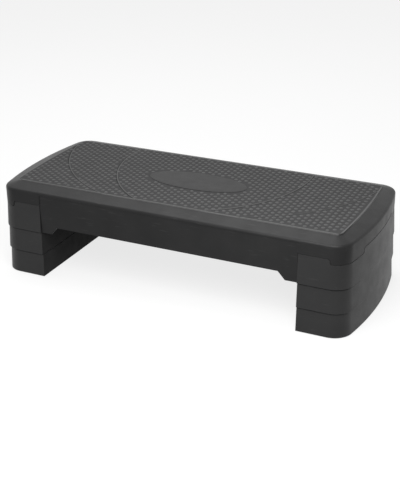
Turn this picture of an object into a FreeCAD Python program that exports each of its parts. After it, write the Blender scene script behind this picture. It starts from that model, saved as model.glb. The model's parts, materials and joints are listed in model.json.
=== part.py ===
import FreeCAD, Part
import os
import Sketcher

# Aerobic step platform: a moulded deck on two fixed end legs and two pairs of loose risers.
# Millimetres. X runs along the deck, Y across it and Z up. The origin is on the floor under the deck's centre.

doc = FreeCAD.newDocument("aerobic_step")
sheet = doc.addObject("Spreadsheet::Sheet", "Dims")

# Driving sizes
SIZES = {
    # whole object
    "deck_length": 780,
    "deck_width": 330,
    "deck_level": 100,          # tread above the feet of the deck's own legs
    "riser_pitch": 50,          # height of a block, and what each riser adds
    "end_bow": 19,              # how far the end faces bow out over the width
    "corner_radius": 36,
    "wall": 3,
    "plate": 3.5,
    "rib": 2.5,
    # tread, border and lip of the deck
    "tread_side_margin": 31.2,
    "tread_end_margin": 32.5,
    "tread_bow": 6,
    "tread_corner": 14,
    "tread_rise": 0.8,
    "tread_root": 2.5,          # how far the tread panel's sides run down into the sloped border
    "border_width": 33,         # the border slopes from the tread's edge down to the rounded lip
    "border_drop": 9.7,
    "lip_radius": 6,
    "oval_length": 215,
    "oval_width": 88,
    "oval_rise": 1,
    "band_depth": 0.6,
    "band_overrun": 6,          # how far the band's cut runs past the tread's long edges
    "band_inner_front": 61,
    "band_inner_back": 204,
    "band_inner_radius": 269,
    "band_outer_front": 133,
    "band_outer_back": 358,
    "band_outer_radius": 330,
    # skirts and ribs of the deck
    "skirt_recess": 1.5,
    "skirt_lip": 16,            # lower edge of the lip below the deck level
    "arch_rise": 16,            # skirt's lower edge in the middle above its tabs
    "arch_tab": 24,             # flat of each skirt tab beside the leg
    "arch_slope": 14.5,
    "skirt_return": 14,         # flange that turns inwards at each end of a skirt
    "end_cell": 75,             # last rib cell at each end
    # blocks under the ends
    "block_length": 108.5,
    "block_inset": 0.8,
    "leg_reach": 0.3,           # how far the top of a leg's end face stands out past the deck
    "riser_reach": 1.2,         # the same for a riser
    "flare_angle": 3.4,         # slope of the blocks' outer walls, which widen downwards
    "edge_bevel": 1.2,
    "seam_gap": 0.8,
    "tab_side": 61.5,
    "tab_end_half": 90,
    "tab_height": 11,
    "tab_round": 4.5,
    "key_margin": 60,
    "key_width": 56,
    "key_height": 8,
    "table_corner": 7,
    "key_clearance": 0.6,
    "seat_margin": 45,
    "seat_width": 64,
    "seat_height": 16,
    "rib_setback": 1,
    # feet and screws
    "foot_length": 28,
    "foot_width": 18,
    "foot_height": 4.5,
    "foot_drop": 1.5,
    "foot_clearance": 0.15,
    "foot_bevel": 0.6,
    "foot_side_inset": 23,
    "foot_inner_inset": 21,
    "foot_end_inset": 46,
    "boss_wall": 2.2,
    "screw_diameter": 3.9,
    "screw_clearance": 0.2,
    "screw_bite": 13,
    "screw_head_diameter": 8,
    "screw_head_height": 2.8,
    "screw_boss_diameter": 10,
    "screw_spread_y": 88,
}
for row, (alias, size) in enumerate(SIZES.items(), start=1):
    sheet.set(f"A{row}", alias)
    sheet.set(f"B{row}", str(size))
    sheet.setAlias(f"B{row}", alias)
doc.recompute()

# Derived sizes, written as expressions of the sheet
HALF_LENGTH = "(Dims.deck_length / 2)"
HALF_WIDTH = "(Dims.deck_width / 2)"
END_RADIUS = f"(({HALF_WIDTH}^2 + Dims.end_bow^2) / (2 * Dims.end_bow))"
END_CENTRE = f"({HALF_LENGTH} - {END_RADIUS})"

TREAD_Z = "(Dims.deck_level - Dims.oval_rise)"
SHOULDER_Z = f"({TREAD_Z} - Dims.tread_rise)"
LIP_Z = f"({SHOULDER_Z} - Dims.border_drop)"
LIP_EDGE_Z = "(Dims.deck_level - Dims.skirt_lip)"
CEILING_Z = f"({TREAD_Z} - Dims.plate)"
CAP_Z = "(Dims.riser_pitch + Dims.seam_gap)"
RIB_Z = "(Dims.riser_pitch + Dims.seat_height)"

TREAD_HALF_LENGTH = f"({HALF_LENGTH} - Dims.tread_end_margin)"
TREAD_HALF_WIDTH = f"({HALF_WIDTH} - Dims.tread_side_margin)"
TREAD_RADIUS = f"(({TREAD_HALF_WIDTH}^2 + Dims.tread_bow^2) / (2 * Dims.tread_bow))"

INNER_X = f"({HALF_LENGTH} - Dims.block_length)"
BLOCK_MID_X = f"({HALF_LENGTH} - Dims.block_length / 2)"
BLOCK_CEILING_Z = "(Dims.riser_pitch - Dims.plate)"
RIB_ROOT_Z = "(Dims.riser_pitch - Dims.plate / 2)"
SKIRT_END = f"({INNER_X} - Dims.seam_gap)"

KEY_HALF_Y = f"({HALF_WIDTH} - Dims.key_margin)"
SEAT_HALF_Y = f"({HALF_WIDTH} - Dims.seat_margin)"
FOOT_Y = f"({HALF_WIDTH} - Dims.block_inset - Dims.foot_side_inset)"
FOOT_XS = {
    "inner": f"({INNER_X} + Dims.foot_inner_inset)",
    "outer": f"({HALF_LENGTH} - Dims.foot_end_inset)",
}
SCREW_RADIUS = "(Dims.screw_diameter / 2)"
SCREW_HOLE = f"({SCREW_RADIUS} + Dims.screw_clearance)"
SCREW_YS = ("-Dims.screw_spread_y", "Dims.screw_spread_y")
LONG_RIB_SHARES = (-2 / 3, -1 / 3, 0, 1 / 3, 2 / 3)
CROSS_RIB_STEPS = 4
PROUD = 5       # how far a cutting outline runs past the face that it cuts


def value(expression):
    """The number that a sheet expression gives now."""
    return float(sheet.evalExpression(expression))


# Sketch helpers
def sketch_on(body, name, role, offset):
    """A sketch on one of the body's own origin planes, moved along the plane's normal."""
    sketch = body.newObject("Sketcher::SketchObject", name)
    plane = [item for item in body.Origin.OriginFeatures if item.Role == role][0]
    sketch.AttachmentSupport = [(plane, "")]
    sketch.MapMode = "FlatFace"
    sketch.setExpression("AttachmentOffset.Base.z", offset)
    return sketch


def pin(sketch, edge, end, x, y):
    """Hold one point of a sketch edge at sheet coordinates."""
    for kind, expression in (("DistanceX", x), ("DistanceY", y)):
        constraint = Sketcher.Constraint(kind, -1, 1, edge, end, value(expression))
        sketch.setExpression(f"Constraints[{sketch.addConstraint(constraint)}]", expression)


def measure(sketch, kind, edge, expression):
    """Give a sketch edge a radius or a length from the sheet."""
    constraint = Sketcher.Constraint(kind, edge, value(expression))
    sketch.setExpression(f"Constraints[{sketch.addConstraint(constraint)}]", expression)


def arc_between(start, end, radius, side):
    """The short arc between two points; side 1 bulges to the right of the way along, -1 to the left."""
    chord = end - start
    rightwards = FreeCAD.Vector(chord.y, -chord.x, 0).normalize()
    sagitta = radius - (radius ** 2 - (chord.Length / 2) ** 2) ** 0.5
    crown = (start + end) / 2 + rightwards * sagitta * side
    return Part.Arc(start, crown, end) if side > 0 else Part.Arc(end, crown, start)


def draw(sketch, vertices):
    """A closed loop through (x, y) vertices; (x, y, radius, side) starts an arc to the next vertex."""
    points = [FreeCAD.Vector(value(vertex[0]), value(vertex[1]), 0) for vertex in vertices]
    ends = []
    for index, vertex in enumerate(vertices):
        start = points[index]
        finish = points[(index + 1) % len(points)]
        if len(vertex) == 2:
            edge = sketch.addGeometry(Part.LineSegment(start, finish))
            ends.append((edge, 1, 2))
        else:
            edge = sketch.addGeometry(arc_between(start, finish, value(vertex[2]), vertex[3]))
            ends.append((edge, 1, 2) if vertex[3] > 0 else (edge, 2, 1))
    for (edge, _, last), (following, next_first, _) in zip(ends, ends[1:] + ends[:1]):
        sketch.addConstraint(Sketcher.Constraint("Coincident", edge, last, following, next_first))
    for (edge, first, _), vertex in zip(ends, vertices):
        pin(sketch, edge, first, vertex[0], vertex[1])
        if len(vertex) == 4:
            measure(sketch, "Radius", edge, vertex[2])


def draw_rectangle(sketch, x_low, x_high, y_low, y_high):
    draw(sketch, [(x_low, y_low), (x_high, y_low), (x_high, y_high), (x_low, y_high)])


def draw_circle(sketch, x, y, radius):
    centre = FreeCAD.Vector(value(x), value(y), 0)
    edge = sketch.addGeometry(Part.Circle(centre, FreeCAD.Vector(0, 0, 1), value(radius)))
    pin(sketch, edge, 3, x, y)
    measure(sketch, "Radius", edge, radius)


def rounded_end(half_length, half_width, radius, corner):
    """Where a bowed end's corner arcs start on the long sides and meet the bow."""
    centre = f"({half_length} - {radius})"
    corner_x = f"({centre} + sqrt(({radius} - {corner})^2 - ({half_width} - {corner})^2))"
    bow_x = f"({centre} + {radius} * ({corner_x} - {centre}) / ({radius} - {corner}))"
    bow_y = f"({radius} * ({half_width} - {corner}) / ({radius} - {corner}))"
    return corner_x, bow_x, bow_y


def draw_deck_outline(sketch, half_length, half_width, radius, corner):
    """Straight long sides and two bowed ends with round corners."""
    corner_x, bow_x, bow_y = rounded_end(half_length, half_width, radius, corner)
    draw(sketch, [
        (f"-{corner_x}", f"-{half_width}"),
        (corner_x, f"-{half_width}", corner, 1),
        (bow_x, f"-{bow_y}", radius, 1),
        (bow_x, bow_y, corner, 1),
        (corner_x, half_width),
        (f"-{corner_x}", half_width, corner, 1),
        (f"-{bow_x}", bow_y, radius, 1),
        (f"-{bow_x}", f"-{bow_y}", corner, 1),
    ])


def draw_block_outline(sketch, reach, inset):
    """A block's plan: the deck's end moved out by its reach and in by an inset, with a straight inner face."""
    half_width = f"({HALF_WIDTH} - Dims.block_inset - {inset})"
    half_length = f"({HALF_LENGTH} + {reach} - {inset})"
    radius = f"({END_RADIUS} - {inset})"
    corner = f"(Dims.corner_radius - {inset})"
    inner_x = f"({INNER_X} + {inset})"
    corner_x, bow_x, bow_y = rounded_end(half_length, half_width, radius, corner)
    draw(sketch, [
        (inner_x, f"-{half_width}"),
        (corner_x, f"-{half_width}", corner, 1),
        (bow_x, f"-{bow_y}", radius, 1),
        (bow_x, bow_y, corner, 1),
        (corner_x, half_width),
        (inner_x, half_width),
    ])


# Feature helpers
def extrude(body, kind, sketch, length, backwards):
    feature = body.newObject(f"PartDesign::{kind}", f"{sketch.Name}_{kind.lower()}")
    feature.Profile = sketch
    feature.setExpression("Length", length)
    feature.Reversed = backwards
    feature.Refine = False
    doc.recompute()
    return feature


def pad(body, sketch, length, backwards=False):
    """Add along the sketch's normal, or against it."""
    return extrude(body, "Pad", sketch, length, backwards)


def pocket_up(body, sketch, depth):
    """Cut along the sketch's normal."""
    return extrude(body, "Pocket", sketch, depth, True)


def pocket_down(body, sketch, depth):
    """Cut against the sketch's normal."""
    return extrude(body, "Pocket", sketch, depth, False)


def dress(body, kind, size_name, base, keep, size):
    names = [f"Edge{number}" for number, edge in enumerate(base.Shape.Edges, start=1) if keep(edge)]
    feature = body.newObject(f"PartDesign::{kind}", f"{base.Name}_{kind.lower()}")
    feature.Base = (base, names)
    feature.setExpression(size_name, size)
    doc.recompute()
    return feature


def fillet(body, base, keep, radius):
    """Round the edges of the base that the keep function picks."""
    return dress(body, "Fillet", "Radius", base, keep, radius)


def bevel(body, base, keep, size):
    """Cut the edges of the base that the keep function picks at 45 degrees."""
    return dress(body, "Chamfer", "Size", base, keep, size)


def slope(body, base, keep, across, down):
    """Cut the edges of the base that the keep function picks to a slope, this far across and down."""
    feature = dress(body, "Chamfer", "Size", base, keep, down)
    feature.ChamferType = "Two distances"
    feature.setExpression("Size2", across)
    doc.recompute()
    return feature


def combine(body, other, kind):
    """Join another body to this one, or cut it away."""
    feature = body.newObject("PartDesign::Boolean", f"{other.Name}_{kind.lower()}")
    feature.Type = kind
    feature.setObjects([other])
    doc.recompute()


def at_height(height):
    """Picks the level edges at a height."""
    level = value(height)
    return lambda edge: abs(edge.BoundBox.ZMin - level) < 1e-3 and abs(edge.BoundBox.ZMax - level) < 1e-3


def wall_edges(height):
    """Picks the short level edges across a wall at a height, where a notch starts or ends."""
    across = value("Dims.wall")
    level = at_height(height)
    return lambda edge: level(edge) and 0.8 * across < edge.Length < 1.4 * across


# Deck
def deck_shell(body):
    """A tray with a sloped border and a rounded lip, hollow beneath, and the raised tread panel on top."""
    outline = (HALF_LENGTH, HALF_WIDTH, END_RADIUS, "Dims.corner_radius")
    tray = sketch_on(body, "tray", "XY_Plane", CAP_Z)
    draw_deck_outline(tray, *outline)
    block = pad(body, tray, f"{SHOULDER_Z} - {CAP_Z}")
    border = slope(body, block, at_height(SHOULDER_Z), "Dims.border_width", "Dims.border_drop")
    fillet(body, border, at_height(LIP_Z), "Dims.lip_radius")

    core = doc.addObject("PartDesign::Body", "core")
    hollow = sketch_on(core, "hollow", "XY_Plane", CAP_Z)
    draw_deck_outline(hollow, *(f"({size} - Dims.wall)" for size in outline))
    plug = pad(core, hollow, f"{CEILING_Z} - {CAP_Z}")
    slope(core, plug, at_height(CEILING_Z), "Dims.border_width - Dims.wall", "Dims.border_drop")
    combine(body, core, "Cut")

    panel = sketch_on(body, "panel", "XY_Plane", f"({SHOULDER_Z} - Dims.tread_root)")
    draw_deck_outline(panel, TREAD_HALF_LENGTH, TREAD_HALF_WIDTH, TREAD_RADIUS, "Dims.tread_corner")
    pad(body, panel, "Dims.tread_rise + Dims.tread_root")


def deck_notches(body):
    """Notches in the caps' lower edges that the legs' tabs fill."""
    notches = sketch_on(body, "notches", "XY_Plane", CAP_Z)
    near = f"({SKIRT_END} - {PROUD})"
    far = f"({INNER_X} + Dims.tab_side + Dims.seam_gap)"
    outside = f"({HALF_WIDTH} + {PROUD})"
    inside = f"({HALF_WIDTH} - Dims.wall - {PROUD})"
    end_inside = f"({HALF_LENGTH} - Dims.end_bow - {PROUD})"
    end_outside = f"({HALF_LENGTH} + {PROUD})"
    end_half = "(Dims.tab_end_half + Dims.seam_gap)"
    draw_rectangle(notches, near, far, f"-{outside}", f"-{inside}")
    draw_rectangle(notches, near, far, inside, outside)
    draw_rectangle(notches, f"-{far}", f"-{near}", f"-{outside}", f"-{inside}")
    draw_rectangle(notches, f"-{far}", f"-{near}", inside, outside)
    draw_rectangle(notches, end_inside, end_outside, f"-{end_half}", end_half)
    draw_rectangle(notches, f"-{end_outside}", f"-{end_inside}", f"-{end_half}", end_half)
    cut = pocket_up(body, notches, "Dims.tab_height")
    top = wall_edges(f"{CAP_Z} + Dims.tab_height")
    foot = wall_edges(CAP_Z)
    fillet(body, cut, lambda edge: top(edge) or foot(edge), "Dims.tab_round")


def deck_skirts(body):
    """Recessed walls between the legs, with a low arch and a tab beside each leg.

    An ear at each end laps behind the cap's wall, above the leg's tab, and ties the two together.
    """
    gap = sketch_on(body, "gap", "XY_Plane", CAP_Z)
    reach = f"({HALF_WIDTH} + {PROUD})"
    draw_rectangle(gap, f"-{SKIRT_END}", SKIRT_END, f"-{reach}", reach)
    pocket_up(body, gap, f"{LIP_EDGE_Z} - {CAP_Z}")

    tab_x = f"({SKIRT_END} - Dims.arch_tab)"
    arch_x = f"({tab_x} - Dims.arch_slope)"
    arch_z = "(Dims.foot_drop + Dims.arch_rise)"
    root_z = f"({LIP_EDGE_Z} + Dims.wall)"
    ear_x = f"({SKIRT_END} + Dims.wall)"
    ear_z = f"({CAP_Z} + Dims.tab_height)"
    for name, plane_y, backwards in (
        ("front_skirt", f"({HALF_WIDTH} - Dims.skirt_recess)", True),
        ("back_skirt", f"-({HALF_WIDTH} - Dims.skirt_recess)", False),
    ):
        skirt = sketch_on(body, name, "XZ_Plane", plane_y)
        draw(skirt, [
            (f"-{SKIRT_END}", "Dims.foot_drop"),
            (f"-{tab_x}", "Dims.foot_drop"),
            (f"-{arch_x}", arch_z),
            (arch_x, arch_z),
            (tab_x, "Dims.foot_drop"),
            (SKIRT_END, "Dims.foot_drop"),
            (SKIRT_END, ear_z),
            (ear_x, ear_z),
            (ear_x, root_z),
            (f"-{ear_x}", root_z),
            (f"-{ear_x}", ear_z),
            (f"-{SKIRT_END}", ear_z),
        ])
        pad(body, skirt, "Dims.wall", backwards)

    returns = sketch_on(body, "skirt_returns", "XY_Plane", "Dims.foot_drop")
    flange_x = f"({SKIRT_END} - Dims.rib)"
    flange_y = f"({HALF_WIDTH} - Dims.skirt_recess - Dims.wall / 2)"
    inner_y = f"({flange_y} - Dims.skirt_return)"
    for low_y, high_y in ((f"-{flange_y}", f"-{inner_y}"), (inner_y, flange_y)):
        draw_rectangle(returns, flange_x, SKIRT_END, low_y, high_y)
        draw_rectangle(returns, f"-{SKIRT_END}", f"-{flange_x}", low_y, high_y)
    pad(body, returns, f"{root_z} - Dims.foot_drop")


def rib_profile(sketch, half_reach, inset):
    """A rib seen from the side: level below, and above it ends half way into the plate and the border.

    The inset is how far the rib's ends lie inside the deck's outline.
    """
    top_z = f"(({SHOULDER_Z} + {CEILING_Z}) / 2)"
    start_z = f"({top_z} - Dims.border_drop * (1 - {inset} / Dims.border_width))"
    half_flat = f"({half_reach} + {inset} - Dims.border_width)"
    draw(sketch, [
        (f"-{half_reach}", RIB_Z),
        (half_reach, RIB_Z),
        (half_reach, start_z),
        (half_flat, top_z),
        (f"-{half_flat}", top_z),
        (f"-{half_reach}", start_z),
    ])


def deck_screw_bosses(body):
    """Posts under the plate that take the legs' screws."""
    bosses = sketch_on(body, "screw_bosses", "XY_Plane", RIB_Z)
    holes = sketch_on(body, "screw_holes", "XY_Plane", RIB_Z)
    for x in (BLOCK_MID_X, f"-{BLOCK_MID_X}"):
        for y in SCREW_YS:
            draw_circle(bosses, x, y, "(Dims.screw_boss_diameter / 2)")
            draw_circle(holes, x, y, SCREW_HOLE)
    pad(body, bosses, f"{CEILING_Z} + Dims.plate / 4 - {RIB_Z}")
    pocket_up(body, holes, "Dims.screw_bite + Dims.screw_clearance")


def cross_rib(body, step):
    """One rib across the deck; the outermost ones lie under the caps, where the walls are further out."""
    pitch = f"(({HALF_LENGTH} - Dims.end_cell) / {CROSS_RIB_STEPS})"
    recess = "0" if abs(step) == CROSS_RIB_STEPS else "Dims.skirt_recess"
    number = step + CROSS_RIB_STEPS + 1
    rib = sketch_on(body, f"cross_rib_{number}", "YZ_Plane", f"({step} * {pitch} - Dims.rib / 2)")
    inset = f"({recess} + Dims.wall / 2)"
    rib_profile(rib, f"({HALF_WIDTH} - {inset})", inset)
    pad(body, rib, "Dims.rib")


def long_rib(body, number, share):
    """One rib along the deck, at a share of the half width."""
    rib_y = f"({share} * {HALF_WIDTH})"
    reach = f"({END_CENTRE} + sqrt(({END_RADIUS} - Dims.wall / 2)^2 - {rib_y}^2))"
    rib = sketch_on(body, f"long_rib_{number}", "XZ_Plane", f"({rib_y} - Dims.rib / 2)")
    rib_profile(rib, reach, "(Dims.wall / 2)")
    pad(body, rib, "Dims.rib")


def deck_ribs(body):
    """A grid of ribs under the tread, made as a body of its own and joined to the deck."""
    grid = doc.addObject("PartDesign::Body", "rib_grid")
    cross_rib(grid, 0)
    for number, share in enumerate(LONG_RIB_SHARES, start=1):
        long_rib(grid, number, share)
    for step in range(1, CROSS_RIB_STEPS + 1):
        cross_rib(grid, -step)
        cross_rib(grid, step)
    combine(body, grid, "Fuse")


def deck_tread_figure(body):
    """Two sunk bands that sweep from the front to the back, and the smooth oval pad."""
    edge_y = f"({TREAD_HALF_WIDTH} + Dims.band_overrun)"
    right = sketch_on(body, "right_band", "XY_Plane", TREAD_Z)
    draw(right, [
        ("Dims.band_inner_front", f"-{edge_y}"),
        ("Dims.band_outer_front", f"-{edge_y}", "Dims.band_outer_radius", 1),
        ("Dims.band_outer_back", edge_y),
        ("Dims.band_inner_back", edge_y, "Dims.band_inner_radius", -1),
    ])
    pocket_down(body, right, "Dims.band_depth")
    left = sketch_on(body, "left_band", "XY_Plane", TREAD_Z)
    draw(left, [
        ("-Dims.band_outer_front", f"-{edge_y}"),
        ("-Dims.band_inner_front", f"-{edge_y}", "Dims.band_inner_radius", -1),
        ("-Dims.band_inner_back", edge_y),
        ("-Dims.band_outer_back", edge_y, "Dims.band_outer_radius", 1),
    ])
    pocket_down(body, left, "Dims.band_depth")

    oval = sketch_on(body, "oval", "XY_Plane", TREAD_Z)
    half_length = value("Dims.oval_length / 2")
    half_width = value("Dims.oval_width / 2")
    edge = oval.addGeometry(Part.Ellipse(FreeCAD.Vector(0, 0, 0), half_length, half_width))
    oval.exposeInternalGeometry(edge)
    oval.addConstraint(Sketcher.Constraint("Coincident", edge, 3, -1, 1))
    oval.addConstraint(Sketcher.Constraint("Horizontal", edge + 1))
    measure(oval, "Distance", edge + 1, "Dims.oval_length")
    measure(oval, "Distance", edge + 2, "Dims.oval_width")
    pad(body, oval, "Dims.oval_rise")


def build_deck():
    body = doc.addObject("PartDesign::Body", "deck")
    deck_shell(body)
    deck_tread_figure(body)
    deck_notches(body)
    deck_skirts(body)
    deck_screw_bosses(body)
    deck_ribs(body)
    body.setExpression("Placement.Base.z", "2 * Dims.riser_pitch")
    return body


# Blocks under the ends, drawn at the right end with their feet on Z = 0
def flare(body, block):
    """Slope a block's outer walls so that it widens downwards from its top; its inner face stays upright."""
    top_z = value("Dims.riser_pitch")
    walls = []
    top = None
    for number, face in enumerate(block.Shape.Faces, start=1):
        box = face.BoundBox
        if box.ZMin > top_z - 1e-3:
            top = f"Face{number}"
        elif box.ZLength > 1 and box.XLength > 1e-3:
            walls.append(f"Face{number}")
    feature = body.newObject("PartDesign::Draft", f"{block.Name}_flare")
    feature.Base = (block, walls)
    feature.NeutralPlane = (block, [top])
    feature.setExpression("Angle", "Dims.flare_angle")
    doc.recompute()


def block_shell(body, reach):
    """Flared walls and a top, open below, with round corners at the outer end."""
    rim = sketch_on(body, "rim", "XY_Plane", "Dims.foot_drop")
    draw_block_outline(rim, reach, "0")
    block = pad(body, rim, "Dims.riser_pitch - Dims.foot_drop")
    flare(body, block)
    cavity = sketch_on(body, "cavity", "XY_Plane", "Dims.foot_drop")
    draw_block_outline(cavity, reach, "Dims.wall")
    return pocket_up(body, cavity, f"{BLOCK_CEILING_Z} - Dims.foot_drop")


def draw_table(sketch, half_x, half_y):
    """A rectangle with cut corners about the middle of the block."""
    low = f"({BLOCK_MID_X} - {half_x})"
    high = f"({BLOCK_MID_X} + {half_x})"
    short_low = f"({low} + Dims.table_corner)"
    short_high = f"({high} - Dims.table_corner)"
    short_y = f"({half_y} - Dims.table_corner)"
    draw(sketch, [
        (short_low, f"-{half_y}"),
        (short_high, f"-{half_y}"),
        (high, f"-{short_y}"),
        (high, short_y),
        (short_high, half_y),
        (short_low, half_y),
        (low, short_y),
        (low, f"-{short_y}"),
    ])


def raised_table(body, half_x, half_y, height):
    """A hollow raised table on top of a block."""
    table = sketch_on(body, "table", "XY_Plane", "Dims.riser_pitch")
    draw_table(table, half_x, half_y)
    pad(body, table, height)
    hollow = sketch_on(body, "table_hollow", "XY_Plane", BLOCK_CEILING_Z)
    draw_table(hollow, f"({half_x} - Dims.wall)", f"({half_y} - Dims.wall)")
    return pocket_up(body, hollow, height)


def block_ribs(body, reach):
    """A socket frame for the key of the block below, and cross ribs from wall to wall."""
    low_z = "(Dims.foot_drop + Dims.rib_setback)"
    half_x = "(Dims.key_width / 2 + Dims.key_clearance)"
    half_y = f"({KEY_HALF_Y} + Dims.key_clearance)"
    frame = sketch_on(body, "socket_frame", "XY_Plane", RIB_ROOT_Z)
    draw_table(frame, half_x, half_y)
    draw_table(frame, f"({half_x} + Dims.rib)", f"({half_y} + Dims.rib)")
    pad(body, frame, f"{RIB_ROOT_Z} - {low_z}", backwards=True)

    high_z = "(Dims.key_height + 2 * Dims.rib_setback)"
    deep = sketch_on(body, "deep_ribs", "XY_Plane", RIB_ROOT_Z)
    relieved = sketch_on(body, "relieved_ribs", "XY_Plane", RIB_ROOT_Z)
    outer_radius = f"({END_RADIUS} - Dims.wall / 2)"
    inner_end = f"({INNER_X} + Dims.wall / 2)"
    deep_y = f"({half_y} + Dims.rib / 2)"
    for sketch, rib_y in (
        (deep, f"-{deep_y}"),
        (deep, deep_y),
        (relieved, f"-({deep_y} / 2)"),
        (relieved, "0"),
        (relieved, f"({deep_y} / 2)"),
    ):
        outer_end = f"({END_CENTRE} + {reach} + sqrt({outer_radius}^2 - ({rib_y})^2))"
        low_y = f"({rib_y} - Dims.rib / 2)"
        high_y = f"({rib_y} + Dims.rib / 2)"
        draw_rectangle(sketch, inner_end, outer_end, low_y, high_y)
    pad(body, deep, f"{RIB_ROOT_Z} - {low_z}", backwards=True)
    pad(body, relieved, f"{RIB_ROOT_Z} - {high_z}", backwards=True)


def draw_foot(sketch, x, y, margin):
    """A foot's rectangle, larger by a margin all round."""
    half_x = f"(Dims.foot_width / 2 + {margin})"
    half_y = f"(Dims.foot_length / 2 + {margin})"
    draw_rectangle(sketch, f"({x} - {half_x})", f"({x} + {half_x})", f"({y} - {half_y})", f"({y} + {half_y})")


def block_foot_bosses(body):
    """Four square tubes that hold the rubber feet level with the rim."""
    tubes = sketch_on(body, "foot_tubes", "XY_Plane", RIB_ROOT_Z)
    cores = sketch_on(body, "foot_cores", "XY_Plane", "Dims.foot_drop")
    seats = sketch_on(body, "foot_seats", "XY_Plane", "Dims.foot_drop")
    for x in FOOT_XS.values():
        for y in (FOOT_Y, f"(-{FOOT_Y})"):
            draw_foot(tubes, x, y, "Dims.boss_wall")
            draw_foot(cores, x, y, "(-Dims.boss_wall)")
            draw_foot(seats, x, y, "Dims.foot_clearance")
    pad(body, tubes, f"{RIB_ROOT_Z} - Dims.foot_drop", backwards=True)
    pocket_up(body, cores, f"{BLOCK_CEILING_Z} - Dims.foot_drop")
    return pocket_up(body, seats, "Dims.foot_height - Dims.foot_drop")


def place_block(body, side, level):
    """Turn the block to its end of the deck and lift it to its place in the stack."""
    body.Placement = FreeCAD.Placement(
        FreeCAD.Vector(0, 0, 0),
        FreeCAD.Rotation(FreeCAD.Vector(0, 0, 1), 0 if side > 0 else 180),
    )
    body.setExpression("Placement.Base.z", f"{level} * Dims.riser_pitch")


def build_riser(name, side, level):
    body = doc.addObject("PartDesign::Body", name)
    shell = block_shell(body, "Dims.riser_reach")
    bevel(body, shell, at_height("Dims.riser_pitch"), "Dims.edge_bevel")
    raised_table(body, "(Dims.key_width / 2)", KEY_HALF_Y, "Dims.key_height")
    block_ribs(body, "Dims.riser_reach")
    block_foot_bosses(body)
    place_block(body, side, level)
    return body


def leg_tabs(body):
    """Tabs that stand on the top edge and fill the notches in the deck's cap."""
    base = "Dims.riser_pitch"
    top = "(Dims.riser_pitch + Dims.tab_height)"
    outside = f"({HALF_WIDTH} - Dims.block_inset)"
    far = f"({INNER_X} + Dims.tab_side)"
    for name, plane_y, backwards in (("front_tab", outside, True), ("back_tab", f"-{outside}", False)):
        tab = sketch_on(body, name, "XZ_Plane", plane_y)
        draw(tab, [
            (INNER_X, RIB_ROOT_Z),
            (f"({far} + Dims.tab_round)", RIB_ROOT_Z),
            (f"({far} + Dims.tab_round)", base, "Dims.tab_round", -1),
            (far, f"({base} + Dims.tab_round)"),
            (far, f"({top} - Dims.tab_round)", "Dims.tab_round", 1),
            (f"({far} - Dims.tab_round)", top),
            (INNER_X, top),
        ])
        pad(body, tab, "Dims.wall", backwards)

    inner = f"({END_RADIUS} - Dims.wall)"
    foot_y = "(Dims.tab_end_half + Dims.tab_round)"
    outer_x = f"({END_CENTRE} + Dims.leg_reach + sqrt({END_RADIUS}^2 - {foot_y}^2))"
    inner_x = f"({END_CENTRE} + Dims.leg_reach + sqrt({inner}^2 - {foot_y}^2))"
    end_tab = sketch_on(body, "end_tab", "XY_Plane", base)
    draw(end_tab, [
        (outer_x, f"-{foot_y}", END_RADIUS, 1),
        (outer_x, foot_y),
        (inner_x, foot_y, inner, -1),
        (inner_x, f"-{foot_y}"),
    ])
    pad(body, end_tab, "Dims.tab_height")

    ends = sketch_on(body, "end_tab_ends", "YZ_Plane", f"({inner_x} - {PROUD})")
    shoulder_y = "(Dims.tab_end_half - Dims.tab_round)"
    clear_y = f"({foot_y} + {PROUD})"
    clear_z = f"({top} + {PROUD})"
    draw(ends, [
        (foot_y, base),
        (clear_y, base),
        (clear_y, clear_z),
        (shoulder_y, clear_z),
        (shoulder_y, top, "Dims.tab_round", -1),
        ("Dims.tab_end_half", f"({top} - Dims.tab_round)"),
        ("Dims.tab_end_half", f"({base} + Dims.tab_round)", "Dims.tab_round", 1),
    ])
    draw(ends, [
        (f"-{foot_y}", base, "Dims.tab_round", 1),
        ("-Dims.tab_end_half", f"({base} + Dims.tab_round)"),
        ("-Dims.tab_end_half", f"({top} - Dims.tab_round)", "Dims.tab_round", -1),
        (f"-{shoulder_y}", top),
        (f"-{shoulder_y}", clear_z),
        (f"-{clear_y}", clear_z),
        (f"-{clear_y}", base),
    ])
    pocket_up(body, ends, f"Dims.end_bow + 2 * {PROUD}")


def build_leg(name, side):
    body = doc.addObject("PartDesign::Body", name)
    block_shell(body, "Dims.leg_reach")
    leg_tabs(body)
    raised_table(body, "(Dims.seat_width / 2)", SEAT_HALF_Y, "Dims.seat_height")
    block_ribs(body, "Dims.leg_reach")
    block_foot_bosses(body)
    holes = sketch_on(body, "leg_screw_holes", "XY_Plane", RIB_Z)
    for y in SCREW_YS:
        draw_circle(holes, BLOCK_MID_X, y, SCREW_HOLE)
    pocket_down(body, holes, "Dims.plate")
    place_block(body, side, 2)
    return body


# Rubber feet and screws
def build_foot(name, x, y, level):
    """A rubber pad with a bevelled lower edge."""
    body = doc.addObject("PartDesign::Body", name)
    outline = sketch_on(body, "outline", "XY_Plane", "0")
    draw_foot(outline, "0", "0", "0")
    block = pad(body, outline, "Dims.foot_height")
    bevel(body, block, at_height("0"), "Dims.foot_bevel")
    body.setExpression("Placement.Base.x", x)
    body.setExpression("Placement.Base.y", y)
    body.setExpression("Placement.Base.z", f"{level} * Dims.riser_pitch")
    return body


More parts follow.
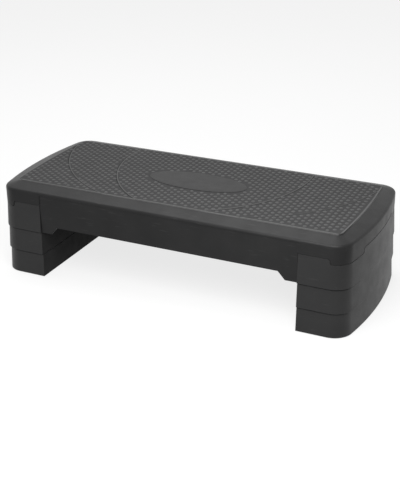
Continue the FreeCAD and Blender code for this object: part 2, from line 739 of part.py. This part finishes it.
def build_screw(name, x, y):
    """A hexagon head screw that points up, with its head below the leg's seat."""
    head_top = f"(2 * Dims.riser_pitch + {RIB_Z} - Dims.plate)"
    head = doc.addObject("Part::Prism", f"{name}_head")
    head.Polygon = 6
    head.setExpression("Circumradius", "Dims.screw_head_diameter / 2")
    head.setExpression("Height", "Dims.screw_head_height")
    shank = doc.addObject("Part::Cylinder", f"{name}_shank")
    shank.setExpression("Radius", SCREW_RADIUS)
    shank.setExpression("Height", "Dims.plate + Dims.screw_bite")
    for piece, foot_z in ((head, f"{head_top} - Dims.screw_head_height"), (shank, head_top)):
        piece.setExpression("Placement.Base.x", x)
        piece.setExpression("Placement.Base.y", y)
        piece.setExpression("Placement.Base.z", foot_z)
    screw = doc.addObject("Part::Fuse", name)
    screw.Base = head
    screw.Tool = shank
    return screw


def build_screws(name, side):
    screws = [
        build_screw(f"{name}_{number}", f"{side} * {BLOCK_MID_X}", y)
        for number, y in enumerate(SCREW_YS, start=1)
    ]
    group = doc.addObject("Part::Compound", name)
    group.Links = screws
    return group


# Assembly
nodes = [build_deck()]
for end, side in (("left", -1), ("right", 1)):
    nodes.append(build_leg(f"end_leg_{end}", side))
    nodes.append(build_riser(f"riser_mid_{end}", side, 1))
    nodes.append(build_riser(f"riser_low_{end}", side, 0))
    nodes.append(build_screws(f"leg_screws_{end}", side))
    for stack, level in (("leg", 2), ("mid", 1), ("low", 0)):
        for row, foot_x in FOOT_XS.items():
            for face, y_sign in (("front", -1), ("back", 1)):
                foot_name = f"foot_{stack}_{end}_{face}_{row}"
                nodes.append(build_foot(foot_name, f"{side} * {foot_x}", f"{y_sign} * {FOOT_Y}", level))
doc.recompute()

# Check every object, then write one file for each piece
for item in doc.Objects:
    if "Invalid" in item.State or "Error" in item.State:
        raise RuntimeError(f"{item.Name} did not build: {item.State}")
os.makedirs("parts", exist_ok=True)
for node in nodes:
    if node.Shape.isNull() or not node.Shape.isValid():
        raise RuntimeError(f"{node.Label} has no valid shape")
    node.Shape.exportStep(f"parts/{node.Label}.step")
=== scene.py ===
import json
import math

import bpy
from mathutils import Matrix, Vector


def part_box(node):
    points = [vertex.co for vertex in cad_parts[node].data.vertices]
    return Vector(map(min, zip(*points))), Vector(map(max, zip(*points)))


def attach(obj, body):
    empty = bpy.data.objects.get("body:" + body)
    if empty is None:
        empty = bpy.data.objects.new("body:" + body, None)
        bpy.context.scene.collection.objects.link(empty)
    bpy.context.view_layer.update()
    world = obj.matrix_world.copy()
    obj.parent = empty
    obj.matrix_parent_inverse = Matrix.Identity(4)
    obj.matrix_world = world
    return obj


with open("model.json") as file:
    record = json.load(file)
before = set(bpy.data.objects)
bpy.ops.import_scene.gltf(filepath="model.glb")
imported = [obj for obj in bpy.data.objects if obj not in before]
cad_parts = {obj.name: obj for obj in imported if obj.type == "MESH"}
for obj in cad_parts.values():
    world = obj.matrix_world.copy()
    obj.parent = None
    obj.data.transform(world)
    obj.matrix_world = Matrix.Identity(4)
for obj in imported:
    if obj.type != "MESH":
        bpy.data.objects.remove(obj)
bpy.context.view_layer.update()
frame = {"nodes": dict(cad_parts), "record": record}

# Sizes of the tread in metres, as the deck has them
DECK_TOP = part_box("deck")[1].z
OVAL_RISE = 0.001
OVAL_LENGTH = 0.215
OVAL_WIDTH = 0.088
TREAD_TOP = DECK_TOP - OVAL_RISE
TREAD_HALF_LENGTH = 0.3575
TREAD_HALF_WIDTH = 0.1338
TREAD_BOW = 0.006
TREAD_RADIUS = (TREAD_HALF_WIDTH ** 2 + TREAD_BOW ** 2) / (2 * TREAD_BOW)
TREAD_CORNER = 0.014
BAND_DEPTH = 0.0006
BAND_OVERRUN = 0.006
INNER_ARC = {"front": 0.061, "back": 0.204, "radius": 0.269}
OUTER_ARC = {"front": 0.133, "back": 0.358, "radius": 0.330}

# Sizes of the studs on the tread
STUD_PITCH_X = 0.01114
STUD_PITCH_Y = 0.01462
STUD_RADIUS = 0.0048
STUD_HEIGHT = 0.00097
STUD_SINK = 0.0002
STUD_ROOT = BAND_DEPTH + STUD_SINK
STUD_SIDES = 10
STUD_RINGS = 3
STUD_SLOPE = math.radians(50)
STUD_EDGE_GAP = 0.0012
STUD_ARC_GAP = 0.003

# Marks on the tread: its matt ground, a painted highlight along its rim, and lines of painted highlight and
# painted shade along its bands
FACE_SLACK = 0.0002
FACE_SOFT = 0.0003
GROUND_DEPTH = 0.0012
GROUND_EDGE = (-0.002, -0.001)
GROUND_SHARE = 0.8
GROUND_MATT = 0.33
GROUND_COLOUR = (0.043, 0.043, 0.0434)
RIM_DEPTH = 0.0016
RIM_REACH = (-0.003, 0.0005)
RIM_SOFT = 0.0006
# Painted highlight: colour of the light lines round the tread's rim and beside its bands
PAINTED_HIGHLIGHT_COLOUR = (0.09, 0.09, 0.09)
# Painted shade: colour of the dark lines beside the bands' steps
PAINTED_STEP_SHADE = (0.008, 0.008, 0.008)
LINE_WIDTH = 0.0018
LINE_SOFT = LINE_WIDTH / 3

# The blocks' inner faces, found by their distance from the middle times the way they look, darkened with
# painted shade
INNER_FACING = (-0.24, -0.18)
INNER_MATT = 0.45
INNER_PAINTED_SHADE = (0.006, 0.006, 0.006)

# Rubber and steel: colours, and the range of the roughness
RUBBER_COLOUR = (0.018, 0.018, 0.018)
DUST_COLOUR = (0.05, 0.049, 0.047)
RUBBER_ROUGHNESS = (0.72, 0.92)
RUBBER_GLOSS = 0.3
ZINC_DARK = (0.42, 0.43, 0.45)
ZINC_LIGHT = (0.6, 0.6, 0.58)
ZINC_ROUGHNESS = (0.24, 0.42)

# Textures, with scales per metre and heights in metres
NOISE_LOW = 0.3
NOISE_HIGH = 0.7
PATCHES = {"scale": 16.0, "detail": 4.0, "roughness": 0.5}
SCUFFS = {"scale": 3.0, "detail": 2.0, "roughness": 0.6}
SCUFF_STRETCH = (9.0, 70.0, 70.0)
SCUFF_TURN = (0.0, 0.0, 0.5)
SCUFF_RANGE = (0.62, 0.8)
SCUFF_SHARE = 0.22
GRAIN = {"scale": 1500.0, "detail": 2.0, "roughness": 0.5, "height": 0.00012, "strength": 0.5}
WAVES = {"scale": 40.0, "detail": 3.0, "roughness": 0.5, "height": 0.0004, "strength": 0.25}
SHINE_LESS = 0.07
SHINE_MORE = 0.08
DUST = {"scale": 60.0, "detail": 5.0, "roughness": 0.65}
DUST_RANGE = (0.45, 0.75)
DUST_SHARE = 0.7
SKIN = {"scale": 900.0, "detail": 3.0, "roughness": 0.5, "height": 0.0002, "strength": 0.6}
CLOUDS = {"scale": 220.0, "detail": 4.0, "roughness": 0.5}
MARKS = {"scale": 2400.0, "detail": 2.0, "roughness": 0.5, "height": 0.00005, "strength": 0.4}

# Eased edges: radii in metres, and the cosines between which an edge turns into a face
PLASTIC_EDGE = 0.0007
RUBBER_EDGE = 0.0005
STEEL_EDGE = 0.0003
EDGE_SAMPLES = 6
EDGE_TURN = (0.75, 0.98)
# How much lighter eased edges get: partly as if worn, partly a painted highlight
EDGE_WEAR_AND_HIGHLIGHT = 0.4
CORNER_ANGLE = math.radians(28)
WELD_DISTANCE = 0.000005

# The studio
FLOOR_HALF = 6.0
FLOOR_DROP = 0.0002
FLOOR_COLOUR = (0.26, 0.26, 0.26)
FLOOR_GLOW = (0.78, 0.78, 0.78)
AMBIENT = 0.35
LAMP_AIM = Vector((0.0, 0.0, 0.12))

# The camera, from the lines of the photograph
IMAGE_WIDTH = 400
SENSOR_WIDTH = 36.0
FOCAL_PIXELS = 1020.2
VIEW_AZIMUTH = math.radians(25.97)
VIEW_ELEVATION = math.radians(24.75)
VIEW_ROLL = math.radians(-0.83)
VIEW_DISTANCE = 2.15
VIEW_TARGET = Vector((0.0029, 0.0, 0.0581))


# Places of the colours among the sockets of a mix node
MIX_FIRST = 6
MIX_SECOND = 7
MIX_RESULT = 2


# Node trees
def add_node(tree, kind, settings=None, **values):
    """A node with its properties from settings and its input values from the keywords."""
    node = tree.nodes.new(kind)
    for name, value in (settings or {}).items():
        setattr(node, name, value)
    for name, value in values.items():
        node.inputs[name.replace("_", " ")].default_value = value
    return node


def join(tree, source, target):
    """A link from an output to an input."""
    tree.links.new(source, target)


def new_material(name):
    """A material with a bare surface shader and object coordinates."""
    material = bpy.data.materials.new(name)
    material.use_nodes = True
    tree = material.node_tree
    shader = tree.nodes["Principled BSDF"]
    place = add_node(tree, "ShaderNodeTexCoord")
    return material, tree, shader, place.outputs["Object"]


def split_axes(tree, vector):
    """The three parts of a vector, as the outputs X, Y and Z."""
    node = add_node(tree, "ShaderNodeSeparateXYZ")
    join(tree, vector, node.inputs["Vector"])
    return node.outputs


def noise(tree, place, texture):
    """Noise of a texture's scale, detail and roughness."""
    node = add_node(
        tree, "ShaderNodeTexNoise",
        Scale=texture["scale"], Detail=texture["detail"], Roughness=texture["roughness"])
    join(tree, place, node.inputs["Vector"])
    return node.outputs["Fac"]


def remap(tree, source, low, high, from_low=NOISE_LOW, from_high=NOISE_HIGH):
    """The source's range as a number between low and high."""
    node = add_node(
        tree, "ShaderNodeMapRange", From_Min=from_low, From_Max=from_high, To_Min=low, To_Max=high)
    join(tree, source, node.inputs["Value"])
    return node.outputs["Result"]


def combine(tree, operation, first, second=0.0):
    """Math on two sockets, on a socket and a number, or on one socket alone."""
    node = add_node(tree, "ShaderNodeMath", {"operation": operation})
    for socket, value in zip(node.inputs, (first, second)):
        if isinstance(value, (int, float)):
            socket.default_value = value
        else:
            join(tree, value, socket)
    return node.outputs["Value"]


def between(tree, source, low, high, soft):
    """One where the source lies between two numbers, with soft ends, and zero elsewhere."""
    rise = remap(tree, source, 0.0, 1.0, low - soft, low)
    fall = remap(tree, source, 1.0, 0.0, high, high + soft)
    return combine(tree, "MULTIPLY", rise, fall)


def blend_colour(tree, share, first, second):
    """A mix of two colours, each a socket or a plain colour."""
    node = add_node(tree, "ShaderNodeMix", {"data_type": "RGBA"})
    join(tree, share, node.inputs["Factor"])
    for place, colour in ((MIX_FIRST, first), (MIX_SECOND, second)):
        socket = node.inputs[place]
        if isinstance(colour, tuple):
            socket.default_value = (*colour, 1.0)
        else:
            join(tree, colour, socket)
    return node.outputs[MIX_RESULT]


def bump(tree, height, texture, under):
    """The surface direction with a texture's relief on top of another direction."""
    node = add_node(tree, "ShaderNodeBump", Strength=texture["strength"], Distance=texture["height"])
    join(tree, height, node.inputs["Height"])
    join(tree, under, node.inputs["Normal"])
    return node.outputs["Normal"]


def rounded_normal(tree, radius):
    """The surface direction with every sharp edge eased over a small radius."""
    node = add_node(tree, "ShaderNodeBevel", {"samples": EDGE_SAMPLES}, Radius=radius)
    return node.outputs["Normal"]


def edge_share(tree, eased):
    """One on an eased edge and zero on a flat face."""
    geometry = add_node(tree, "ShaderNodeNewGeometry")
    node = add_node(tree, "ShaderNodeVectorMath", {"operation": "DOT_PRODUCT"})
    join(tree, eased, node.inputs[0])
    join(tree, geometry.outputs["Normal"], node.inputs[1])
    return remap(tree, node.outputs["Value"], 1.0, 0.0, *EDGE_TURN)


# Finishes of the tread and of the blocks' inner faces, with painted highlights and painted shade in their
# colour
def band_circle(arc):
    """Centre of the circle that bounds a band, on the right half of the tread."""
    reach = TREAD_HALF_WIDTH + BAND_OVERRUN
    front = Vector((arc["front"], -reach))
    back = Vector((arc["back"], reach))
    chord = back - front
    inward = Vector((-chord.y, chord.x)).normalized()
    return (front + back) / 2 + inward * math.sqrt(arc["radius"] ** 2 - chord.length_squared / 4)


def past_tread(tree, along, across):
    """How far a point lies outside the tread's outline."""
    bow = combine(tree, "MULTIPLY", combine(tree, "MULTIPLY", across, across), 0.5 / TREAD_RADIUS)
    past_end = combine(tree, "SUBTRACT", combine(tree, "ADD", along, bow), TREAD_HALF_LENGTH)
    past_side = combine(tree, "SUBTRACT", combine(tree, "ABSOLUTE", across), TREAD_HALF_WIDTH)
    return combine(tree, "MAXIMUM", past_end, past_side)


def past_arc(tree, along, across, arc):
    """How far a point lies outside the circle that bounds a band."""
    centre = band_circle(arc)
    aside = combine(tree, "SUBTRACT", along, centre.x)
    forward = combine(tree, "SUBTRACT", across, centre.y)
    aside_squared = combine(tree, "MULTIPLY", aside, aside)
    forward_squared = combine(tree, "MULTIPLY", forward, forward)
    reach = combine(tree, "SQRT", combine(tree, "ADD", aside_squared, forward_squared))
    return combine(tree, "SUBTRACT", reach, arc["radius"])


def tread_ground_and_painted_light(tree, place, colour):
    """The grey matt ground between the studs, a painted highlight round the tread's rim, and lines of
    painted highlight and painted shade along its bands.
    """
    axes = split_axes(tree, place)
    along = combine(tree, "ABSOLUTE", axes["X"])
    across = axes["Y"]
    past = past_tread(tree, along, across)
    level = between(tree, axes["Z"], TREAD_TOP - GROUND_DEPTH, TREAD_TOP + FACE_SLACK, FACE_SOFT)
    ground = combine(tree, "MULTIPLY", level, remap(tree, past, 1.0, 0.0, *GROUND_EDGE))
    colour = blend_colour(tree, combine(tree, "MULTIPLY", ground, GROUND_SHARE), colour, GROUND_COLOUR)

    # Painted highlight: a light line round the tread's rim, and one just inside each band circle
    rim_level = between(tree, axes["Z"], TREAD_TOP - RIM_DEPTH, TREAD_TOP + FACE_SLACK, FACE_SOFT)
    painted_highlight = combine(tree, "MULTIPLY", rim_level, between(tree, past, *RIM_REACH, RIM_SOFT))
    for arc in (INNER_ARC, OUTER_ARC):
        outside = past_arc(tree, along, across, arc)
        # Painted shade: a dark line just outside each band circle, beside its step
        painted_step_shade = combine(tree, "MULTIPLY", ground, between(tree, outside, 0.0, LINE_WIDTH, LINE_SOFT))
        colour = blend_colour(tree, painted_step_shade, colour, PAINTED_STEP_SHADE)
        edge = combine(tree, "MULTIPLY", ground, between(tree, outside, -LINE_WIDTH, 0.0, LINE_SOFT))
        painted_highlight = combine(tree, "MAXIMUM", painted_highlight, edge)
    colour = blend_colour(tree, painted_highlight, colour, PAINTED_HIGHLIGHT_COLOUR)
    return colour, combine(tree, "MULTIPLY", ground, GROUND_MATT)


def inner_painted_shade_and_matt(tree, place, colour):
    """Painted shade as a darker colour, and a matt skin, on the faces that look towards the middle of the
    step.
    """
    geometry = add_node(tree, "ShaderNodeNewGeometry")
    facing = split_axes(tree, geometry.outputs["Normal"])
    outward = combine(tree, "MULTIPLY", split_axes(tree, place)["X"], facing["X"])
    inward = remap(tree, outward, 1.0, 0.0, *INNER_FACING)
    return blend_colour(tree, inward, colour, INNER_PAINTED_SHADE), combine(tree, "MULTIPLY", inward, INNER_MATT)


# Materials
def moulded_plastic(name, dark, light, edge, shine, gloss, finish_and_painted_light=None):
    """Black plastic from a grained mould, with faint scuffs, edges lighter partly as if worn and partly as
    painted highlight, and optional marks of its own.
    """
    material, tree, shader, place = new_material(name)
    patches = noise(tree, place, PATCHES)
    colour = blend_colour(tree, remap(tree, patches, 0.0, 1.0), dark, light)

    stretch = add_node(tree, "ShaderNodeMapping", Scale=SCUFF_STRETCH, Rotation=SCUFF_TURN)
    join(tree, place, stretch.inputs["Vector"])
    streaks = noise(tree, stretch.outputs["Vector"], SCUFFS)
    colour = blend_colour(tree, remap(tree, streaks, 0.0, SCUFF_SHARE, *SCUFF_RANGE), colour, edge)

    eased = rounded_normal(tree, PLASTIC_EDGE)
    # Eased edges, convex and concave alike, turn lighter: partly as if worn, partly a painted highlight
    wear_and_highlight = combine(tree, "MULTIPLY", edge_share(tree, eased), EDGE_WEAR_AND_HIGHLIGHT)
    colour = blend_colour(tree, wear_and_highlight, colour, edge)
    grain = noise(tree, place, GRAIN)
    waves = noise(tree, place, WAVES)
    half_grain = combine(tree, "MULTIPLY", grain, 0.5)
    half_waves = combine(tree, "MULTIPLY", waves, 0.5)
    mottle = combine(tree, "ADD", half_grain, half_waves)
    roughness = remap(tree, mottle, shine - SHINE_LESS, shine + SHINE_MORE)
    if finish_and_painted_light is not None:
        colour, matt = finish_and_painted_light(tree, place, colour)
        roughness = combine(tree, "ADD", roughness, matt)
    join(tree, colour, shader.inputs["Base Color"])
    join(tree, roughness, shader.inputs["Roughness"])
    join(tree, bump(tree, grain, GRAIN, bump(tree, waves, WAVES, eased)), shader.inputs["Normal"])
    shader.inputs["Specular IOR Level"].default_value = gloss
    return material


def foot_rubber():
    """Black rubber with a rough skin and a film of dust."""
    material, tree, shader, place = new_material("foot_rubber")
    dust = remap(tree, noise(tree, place, DUST), 0.0, DUST_SHARE, *DUST_RANGE)
    colour = blend_colour(tree, dust, RUBBER_COLOUR, DUST_COLOUR)
    join(tree, colour, shader.inputs["Base Color"])
    skin = noise(tree, place, SKIN)
    join(tree, remap(tree, skin, *RUBBER_ROUGHNESS), shader.inputs["Roughness"])
    join(tree, bump(tree, skin, SKIN, rounded_normal(tree, RUBBER_EDGE)), shader.inputs["Normal"])
    shader.inputs["Specular IOR Level"].default_value = RUBBER_GLOSS
    return material


def screw_steel():
    """Zinc plated steel with a cloudy plating and fine turning marks."""
    material, tree, shader, place = new_material("screw_steel")
    clouds = remap(tree, noise(tree, place, CLOUDS), 0.0, 1.0)
    colour = blend_colour(tree, clouds, ZINC_DARK, ZINC_LIGHT)
    join(tree, colour, shader.inputs["Base Color"])
    marks = noise(tree, place, MARKS)
    join(tree, remap(tree, marks, *ZINC_ROUGHNESS), shader.inputs["Roughness"])
    join(tree, bump(tree, marks, MARKS, rounded_normal(tree, STEEL_EDGE)), shader.inputs["Normal"])
    shader.inputs["Metallic"].default_value = 1.0
    return material


def make_materials():
    """The record's four materials by slot, and the studs' lighter plastic, whose light tone is a painted
    highlight.
    """
    return {
        "deck_plastic": moulded_plastic(
            "deck_plastic", dark=(0.012, 0.012, 0.0122), light=(0.017, 0.017, 0.0172),
            edge=(0.08, 0.08, 0.08), shine=0.42, gloss=0.2, finish_and_painted_light=tread_ground_and_painted_light),
        # The studs' plastic is far lighter than the deck's: a painted highlight for the glints on their
        # domes
        "stud_plastic_painted_highlight": moulded_plastic(
            "stud_plastic_painted_highlight", dark=(0.055, 0.055, 0.0555), light=(0.064, 0.064, 0.0646),
            edge=(0.09, 0.09, 0.09), shine=0.5, gloss=0.25),
        "block_plastic": moulded_plastic(
            "block_plastic", dark=(0.011, 0.011, 0.0112), light=(0.016, 0.016, 0.0162),
            edge=(0.06, 0.06, 0.06), shine=0.46, gloss=0.34, finish_and_painted_light=inner_painted_shade_and_matt),
        "foot_rubber": foot_rubber(),
        "screw_steel": screw_steel(),
    }


# Pieces that come from the frame
def soft_shading():
    """A node group that smooths round faces and keeps corners sharp."""
    tree = bpy.data.node_groups.new("soft_shading", "GeometryNodeTree")
    tree.interface.new_socket("Geometry", in_out="INPUT", socket_type="NodeSocketGeometry")
    tree.interface.new_socket("Geometry", in_out="OUTPUT", socket_type="NodeSocketGeometry")
    start = add_node(tree, "NodeGroupInput")
    end = add_node(tree, "NodeGroupOutput")
    angle = add_node(tree, "GeometryNodeInputMeshEdgeAngle")
    corner = add_node(tree, "FunctionNodeCompare", {"data_type": "FLOAT", "operation": "GREATER_THAN"})
    corner.inputs["B"].default_value = CORNER_ANGLE
    normals = add_node(tree, "GeometryNodeSetMeshNormal", {"mode": "SHARPNESS"}, Remove_Custom=True)
    join(tree, angle.outputs["Unsigned Angle"], corner.inputs["A"])
    join(tree, start.outputs["Geometry"], normals.inputs["Mesh"])
    join(tree, corner.outputs["Result"], normals.inputs["Edge Sharpness"])
    join(tree, normals.outputs["Mesh"], end.inputs["Geometry"])
    return tree


def dress_nodes(materials):
    """Finish on every piece of the frame, by its material slot."""
    shading = soft_shading()
    for part in frame["record"]["subparts"]:
        piece = frame["nodes"][part["node"]]
        piece.data.materials.clear()
        piece.data.materials.append(materials[part["material_slot"]])
        piece.modifiers.new("weld", "WELD").merge_threshold = WELD_DISTANCE
        piece.modifiers.new("soft_shading", "NODES").node_group = shading


# Studs of the tread
def tread_end(y):
    """Half length of the tread, which bows out at the middle of its ends."""
    return TREAD_HALF_LENGTH - TREAD_RADIUS + math.sqrt(TREAD_RADIUS ** 2 - y ** 2)


def on_tread(x, y, margin):
    """Whether a point lies inside the tread by a margin, with x and y as distances from its middle."""
    beyond_x = x - (tread_end(y) - TREAD_CORNER)
    beyond_y = y - (TREAD_HALF_WIDTH - TREAD_CORNER)
    if beyond_x > 0 and beyond_y > 0:
        return math.hypot(beyond_x, beyond_y) < TREAD_CORNER - margin
    return max(beyond_x, beyond_y) < TREAD_CORNER - margin


def stud_height(x, y):
    """Level of the tread under a stud, or nothing where a stud has no room."""
    margin = STUD_RADIUS + STUD_EDGE_GAP
    if not on_tread(abs(x), abs(y), margin):
        return None
    if math.hypot(x / (OVAL_LENGTH / 2 + margin), y / (OVAL_WIDTH / 2 + margin)) < 1:
        return None
    inside = []
    for arc in (INNER_ARC, OUTER_ARC):
        centre = band_circle(arc)
        past = math.hypot(abs(x) - centre.x, y - centre.y) - arc["radius"]
        if abs(past) < STUD_ARC_GAP:
            return None
        inside.append(past < 0)
    in_band = inside[1] and not inside[0]
    return TREAD_TOP - BAND_DEPTH if in_band else TREAD_TOP


def stud_places():
    """Staggered columns of studs over the whole tread."""
    columns = int(TREAD_HALF_LENGTH / STUD_PITCH_X)
    rows = int(TREAD_HALF_WIDTH / STUD_PITCH_Y) + 1
    for column in range(-columns, columns + 1):
        stagger = 0.5 * (column % 2)
        for row in range(-rows, rows + 1):
            x = column * STUD_PITCH_X
            y = (row + stagger) * STUD_PITCH_Y
            level = stud_height(x, y)
            if level is not None:
                yield Vector((x, y, level))


def stud_rings():
    """Radius and height of each ring of a stud's dome, from its root up."""
    for ring in range(STUD_RINGS):
        tilt = STUD_SLOPE * (1 - ring / STUD_RINGS)
        radius = STUD_RADIUS * math.sin(tilt) / math.sin(STUD_SLOPE)
        rise = STUD_HEIGHT * (math.cos(tilt) - math.cos(STUD_SLOPE)) / (1 - math.cos(STUD_SLOPE))
        yield radius, rise if ring else -STUD_ROOT


def make_studs(materials):
    """Every stud as a closed low dome, in one mesh."""
    points = []
    faces = []
    for foot in stud_places():
        first = len(points)
        for radius, height in stud_rings():
            for side in range(STUD_SIDES):
                turn = 2 * math.pi * side / STUD_SIDES
                points.append(foot + Vector((radius * math.cos(turn), radius * math.sin(turn), height)))
        points.append(foot + Vector((0, 0, STUD_HEIGHT)))
        top = len(points) - 1
        faces.append(tuple(reversed(range(first, first + STUD_SIDES))))
        for side in range(STUD_SIDES):
            following = (side + 1) % STUD_SIDES
            for ring in range(STUD_RINGS - 1):
                low = first + ring * STUD_SIDES
                high = low + STUD_SIDES
                faces.append((low + side, low + following, high + following, high + side))
            last = top - STUD_SIDES
            faces.append((last + side, last + following, top))
    mesh = bpy.data.meshes.new("tread_studs")
    mesh.from_pydata(points, [], faces)
    mesh.shade_smooth()
    mesh.materials.append(materials["stud_plastic_painted_highlight"])
    studs = bpy.data.objects.new("tread_studs", mesh)
    bpy.context.scene.collection.objects.link(studs)
    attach(studs, "platform")


# Floor, light and camera
def seen_ray(tree):
    """One for rays that show the background: camera, glossy and transmission rays."""
    path = add_node(tree, "ShaderNodeLightPath")
    sharp = combine(tree, "MAXIMUM", path.outputs["Is Glossy Ray"], path.outputs["Is Transmission Ray"])
    return combine(tree, "MAXIMUM", path.outputs["Is Camera Ray"], sharp)


def floor_white():
    """A pale floor that looks white and keeps the shadow."""
    material = bpy.data.materials.new("floor_white")
    material.use_nodes = True
    tree = material.node_tree
    tree.nodes.clear()
    diffuse = add_node(tree, "ShaderNodeBsdfDiffuse", Color=(*FLOOR_COLOUR, 1.0))
    glow = add_node(tree, "ShaderNodeEmission", Color=(*FLOOR_GLOW, 1.0))
    join(tree, seen_ray(tree), glow.inputs["Strength"])
    both = add_node(tree, "ShaderNodeAddShader")
    join(tree, diffuse.outputs[0], both.inputs[0])
    join(tree, glow.outputs[0], both.inputs[1])
    end = add_node(tree, "ShaderNodeOutputMaterial")
    join(tree, both.outputs[0], end.inputs["Surface"])
    return material


def make_floor():
    """A wide square just under the feet."""
    corners = []
    for x, y in ((-1, -1), (1, -1), (1, 1), (-1, 1)):
        corners.append((x * FLOOR_HALF, y * FLOOR_HALF, -FLOOR_DROP))
    mesh = bpy.data.meshes.new("floor")
    mesh.from_pydata(corners, [], [(0, 1, 2, 3)])
    mesh.materials.append(floor_white())
    floor = bpy.data.objects.new("floor", mesh)
    bpy.context.scene.collection.objects.link(floor)


def make_world():
    """White where it is seen, and a soft even light."""
    world = bpy.data.worlds.new("studio")
    world.use_nodes = True
    tree = world.node_tree
    background = tree.nodes["Background"]
    background.inputs["Color"].default_value = (1.0, 1.0, 1.0, 1.0)
    join(tree, remap(tree, seen_ray(tree), AMBIENT, 1.0, 0.0, 1.0), background.inputs["Strength"])
    bpy.context.scene.world = world


def make_lamp(name, place, size, level):
    """A soft square lamp; level one lights a facing surface at the aim to its own colour."""
    direction = Vector(place) - LAMP_AIM
    data = bpy.data.lights.new(name, "AREA")
    data.shape = "SQUARE"
    data.size = size
    data.energy = level * math.pi ** 2 * direction.length_squared
    lamp = bpy.data.objects.new(name, data)
    lamp.location = place
    lamp.rotation_euler = direction.to_track_quat("Z", "Y").to_euler()
    bpy.context.scene.collection.objects.link(lamp)


def make_lamps():
    """A wide lamp above, for the sheen of the border, and a near one for the front of the tread."""
    make_lamp("top_lamp", place=(-0.5, 0.4, 2.1), size=1.6, level=0.5)
    make_lamp("front_lamp", place=(0.3, -0.6, 0.7), size=0.5, level=0.8)


def make_camera():
    """The photograph's view, with its frame of 400 by 489 pixels."""
    flat = math.cos(VIEW_ELEVATION)
    back = Vector((math.sin(VIEW_AZIMUTH) * flat, -math.cos(VIEW_AZIMUTH) * flat, math.sin(VIEW_ELEVATION)))
    level = Vector((math.cos(VIEW_AZIMUTH), math.sin(VIEW_AZIMUTH), 0.0))
    upright = back.cross(level)
    right = math.cos(VIEW_ROLL) * level + math.sin(VIEW_ROLL) * upright
    up = math.cos(VIEW_ROLL) * upright - math.sin(VIEW_ROLL) * level
    data = bpy.data.cameras.new("camera")
    data.sensor_width = SENSOR_WIDTH
    data.sensor_fit = "HORIZONTAL"
    data.lens = FOCAL_PIXELS * SENSOR_WIDTH / IMAGE_WIDTH
    camera = bpy.data.objects.new("camera", data)
    turn = Matrix((right, up, back)).transposed().to_4x4()
    camera.matrix_world = Matrix.Translation(VIEW_TARGET + back * VIEW_DISTANCE) @ turn
    bpy.context.scene.collection.objects.link(camera)
    bpy.context.scene.camera = camera


materials = make_materials()
dress_nodes(materials)
make_studs(materials)
make_floor()
make_world()
make_lamps()
make_camera()
bpy.context.scene.view_settings.view_transform = "Standard"
